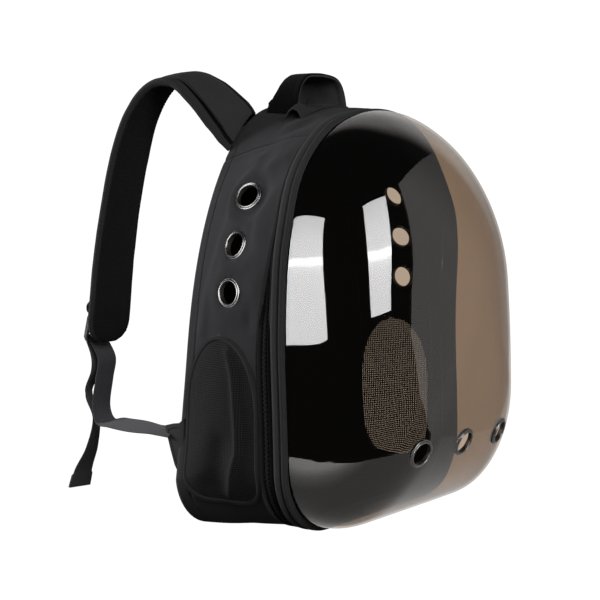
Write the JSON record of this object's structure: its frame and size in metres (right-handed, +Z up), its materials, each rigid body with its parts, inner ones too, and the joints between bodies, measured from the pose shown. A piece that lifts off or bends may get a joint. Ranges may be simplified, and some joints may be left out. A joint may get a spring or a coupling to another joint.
{
  "type": "pet carrier backpack",
  "caption": "Backpack pet carrier: dark cloth case with a clear smoked dome front, vent eyelets, mesh side windows, a carry handle and padded shoulder straps.",
  "frame": {"origin": "on the flat underside that the pack stands on, below the middle of its width", "axes": "+Z up; the dome faces -Y and the wearer's back lies against the +Y face; +X to the right of someone facing the dome"},
  "size_m": [0.3, 0.432, 0.4388],
  "materials": {
    "case_cloth": "matt woven cloth, near black",
    "trim_cloth": "matt tape and piping, black",
    "net": "fine open net, black",
    "webbing": "ribbed webbing, dark grey",
    "buckle_plastic": "moulded, black",
    "dark_steel": "darkened, polished lip",
    "smoked_plastic": "clear, smoke-brown tint, high gloss"
  },
  "bodies": {
    "root": {"back_panel": "case_cloth", "base_panel": "case_cloth", "top_panel": "case_cloth", "side_panel_left": "case_cloth", "side_panel_right": "case_cloth", "window_binding_left": "case_cloth", "window_binding_right": "case_cloth", "rim_band": "case_cloth", "handle": "case_cloth", "handle_patch": "case_cloth", "strap_left": "case_cloth", "strap_right": "case_cloth", "anchor_tab_left": "case_cloth", "anchor_tab_right": "case_cloth", "zip_tape": "trim_cloth", "piping": "trim_cloth", "mesh_window_left": "net", "mesh_window_right": "net", "lock_tab_left": "webbing", "lock_tab_right": "webbing", "webbing_left": "webbing", "webbing_right": "webbing", "ladder_lock_left": "buckle_plastic", "ladder_lock_right": "buckle_plastic", "zip_slider": "dark_steel", "vent_eyelet_left_1": "dark_steel", "vent_eyelet_left_2": "dark_steel", "vent_eyelet_left_3": "dark_steel", "vent_eyelet_right_1": "dark_steel", "vent_eyelet_right_2": "dark_steel", "vent_eyelet_right_3": "dark_steel", "dome_eyelet_1": "dark_steel", "dome_eyelet_2": "dark_steel", "dome_eyelet_3": "dark_steel", "dome": "smoked_plastic"}
  },
  "joints": []
}
